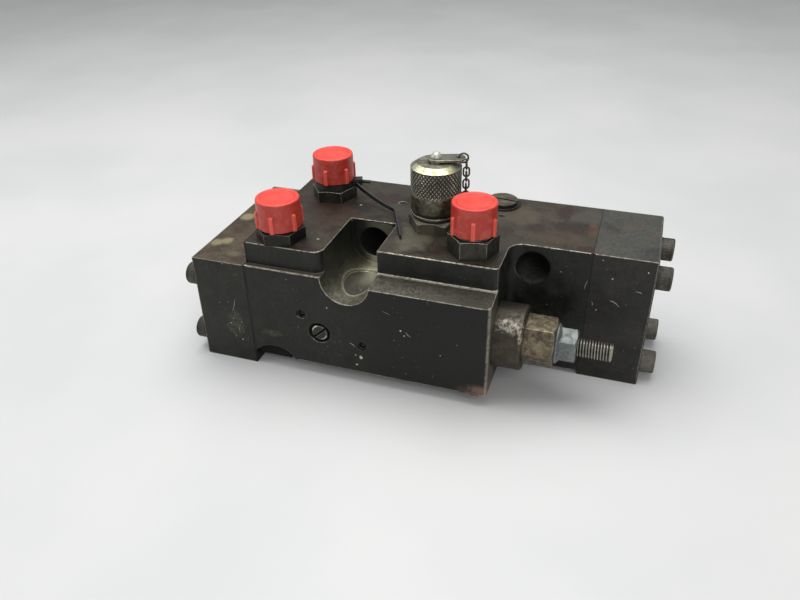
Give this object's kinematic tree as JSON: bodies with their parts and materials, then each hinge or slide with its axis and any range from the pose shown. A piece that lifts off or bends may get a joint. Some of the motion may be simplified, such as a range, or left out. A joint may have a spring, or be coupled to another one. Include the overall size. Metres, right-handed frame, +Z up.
{
  "type": "hydraulic monoblock valve",
  "caption": "Hydraulic monoblock valve: cast body with bolted end caps, capped port adapters, a chained test coupling and a pressure adjuster with lock nut.",
  "frame": {"origin": "centre of the bounding box's footprint, on the surface that the end caps stand on", "axes": "+X along the main spool towards the right end cap and the adjusting screw, +Y from the front towards the rear mounting face, +Z up, out of the ports"},
  "size_m": [0.266, 0.102, 0.1229],
  "materials": {
    "cast_iron": "oily cast iron with worn edges",
    "left_cap_iron": "machined iron, tan stains on its top",
    "right_cap_iron": "machined iron, grey",
    "black_steel": "dark oxide",
    "adapter_steel": "dark steel with bright corners",
    "bronze_steel": "brown-tinted steel with a rub mark",
    "zinc_steel": "zinc plated",
    "bright_steel": "bright turned steel",
    "chain_steel": "dull plated wire",
    "nickel": "nickel plated",
    "spring_steel": "spring wire",
    "red_plastic": "red translucent plastic",
    "black_plastic": "black nylon",
    "seal_rubber": "nitrile rubber",
    "dark_washer": "tarnished sealing washer"
  },
  "bodies": {
    "casting": {"valve_body": "cast_iron", "left_end_cap": "left_cap_iron", "right_end_cap": "right_cap_iron", "left_cap_screws": "black_steel", "right_cap_screws": "black_steel", "left_cap_seals": "seal_rubber", "right_cap_seal": "seal_rubber", "left_centring_spring": "spring_steel", "right_centring_spring": "spring_steel", "port_adapter_1": "adapter_steel", "port_adapter_2": "adapter_steel", "port_adapter_3": "adapter_steel", "port_adapter_seals": "seal_rubber", "test_coupling_body": "adapter_steel", "test_coupling_seal": "seal_rubber", "test_poppet_spring": "spring_steel", "chain_links_bottom": "chain_steel", "chain_ring": "nickel", "adjuster_sleeve": "bronze_steel", "adjuster_sleeve_seal": "seal_rubber", "adjuster_housing": "bronze_steel", "relief_spring": "spring_steel", "relief_seat": "bright_steel", "top_plug": "black_steel", "top_plug_seal": "dark_washer", "check_spring": "spring_steel", "gallery_plugs": "black_steel", "rear_face_seals": "seal_rubber", "cable_tie": "black_plastic"},
    "spool": {"main_spool": "bright_steel", "left_spring_seat": "bright_steel", "right_spring_seat": "bright_steel"},
    "relief_poppet": {"relief_poppet": "bright_steel"},
    "spring_seat": {"adjuster_spring_seat": "bright_steel", "adjuster_seat_seal": "seal_rubber"},
    "adjusting_screw": {"adjusting_screw": "bright_steel"},
    "lock_nut": {"lock_nut": "zinc_steel"},
    "port_cap_1": {"port_cap_1": "red_plastic"},
    "port_cap_2": {"port_cap_2": "red_plastic"},
    "port_cap_3": {"port_cap_3": "red_plastic"},
    "strap": {"test_cap_strap": "nickel", "chain_links_top": "chain_steel"},
    "test_cap": {"test_cap": "nickel", "test_cap_rivet": "nickel"},
    "chain_upper": {"chain_links_upper": "chain_steel"},
    "chain_lower": {"chain_links_lower": "chain_steel"},
    "test_poppet": {"test_poppet": "bright_steel"},
    "throttle_seal": {"throttle_seal": "seal_rubber"},
    "throttle_screw": {"throttle_screw": "black_steel"},
    "check_ball": {"check_ball": "bright_steel"}
  },
  "joints": [
    {"name": "spool_slide", "type": "slide", "parent": "casting", "child": "spool", "axis": [1, 0, 0], "range_m": [-0.0045, 0.0045], "stiffness_N_per_m": 24000, "deforming": ["left_centring_spring", "right_centring_spring"]},
    {"name": "relief_poppet_slide", "type": "slide", "parent": "casting", "child": "relief_poppet", "axis": [1, 0, 0], "range_m": [0, 0.0025], "stiffness_N_per_m": 40000, "deforming": ["relief_spring"]},
    {"name": "spring_seat_slide", "type": "slide", "parent": "casting", "child": "spring_seat", "axis": [1, 0, 0], "range_m": [-0.00301, 0.00301]},
    {"name": "adjusting_screw_turn", "type": "hinge", "parent": "spring_seat", "child": "adjusting_screw", "pos_m": [0.067, -0.0283, 0.0352], "axis": [1, 0, 0], "range_deg": [-720, 720]},
    {"name": "lock_nut_turn", "type": "hinge", "parent": "casting", "child": "lock_nut", "pos_m": [0.0798, -0.0283, 0.0352], "axis": [1, 0, 0], "range_deg": [-45, 45]},
    {"name": "strap_rise", "type": "slide", "parent": "casting", "child": "strap", "axis": [0, 0, 1], "range_m": [0, 0.00512]},
    {"name": "test_cap_turn", "type": "hinge", "parent": "strap", "child": "test_cap", "pos_m": [0.003, 0.003, 0.117], "axis": [0, 0, 1], "range_deg": [0, 1224]},
    {"name": "chain_upper_rise", "type": "slide", "parent": "casting", "child": "chain_upper", "axis": [0, 0, 1], "range_m": [0, 0.00342]},
    {"name": "chain_lower_rise", "type": "slide", "parent": "casting", "child": "chain_lower", "axis": [0, 0, 1], "range_m": [0, 0.00172]},
    {"name": "test_poppet_slide", "type": "slide", "parent": "casting", "child": "test_poppet", "axis": [0, 0, 1], "range_m": [-0.002, 0], "stiffness_N_per_m": 1500, "deforming": ["test_poppet_spring"]},
    {"name": "throttle_slide", "type": "slide", "parent": "casting", "child": "throttle_seal", "axis": [0, -1, 0], "range_m": [0, 0.00201]},
    {"name": "throttle_turn", "type": "hinge", "parent": "throttle_seal", "child": "throttle_screw", "pos_m": [-0.0487, -0.051, 0.0301], "axis": [0, -1, 0], "range_deg": [0, 720]},
    {"name": "check_ball_slide", "type": "slide", "parent": "casting", "child": "check_ball", "axis": [0, 0, 1], "range_m": [0, 0.002], "stiffness_N_per_m": 500, "deforming": ["check_spring"]},
    {"name": "port_cap_1_lift", "type": "slide", "parent": "casting", "child": "port_cap_1", "axis": [0, 0, 1], "range_m": [0, 0.014]},
    {"name": "port_cap_2_lift", "type": "slide", "parent": "casting", "child": "port_cap_2", "axis": [0, 0, 1], "range_m": [0, 0.014]},
    {"name": "port_cap_3_lift", "type": "slide", "parent": "casting", "child": "port_cap_3", "axis": [0, 0, 1], "range_m": [0, 0.014]}
  ],
  "couplings": [
    {"joint": "spring_seat_slide", "follows": "adjusting_screw_turn", "m_per_rad": 0.00023873},
    {"joint": "strap_rise", "follows": "test_cap_turn", "m_per_rad": 0.00023873},
    {"joint": "chain_upper_rise", "follows": "test_cap_turn", "m_per_rad": 0.00015915},
    {"joint": "chain_lower_rise", "follows": "test_cap_turn", "m_per_rad": 0.000079577},
    {"joint": "throttle_slide", "follows": "throttle_turn", "m_per_rad": 0.00015915}
  ]
}
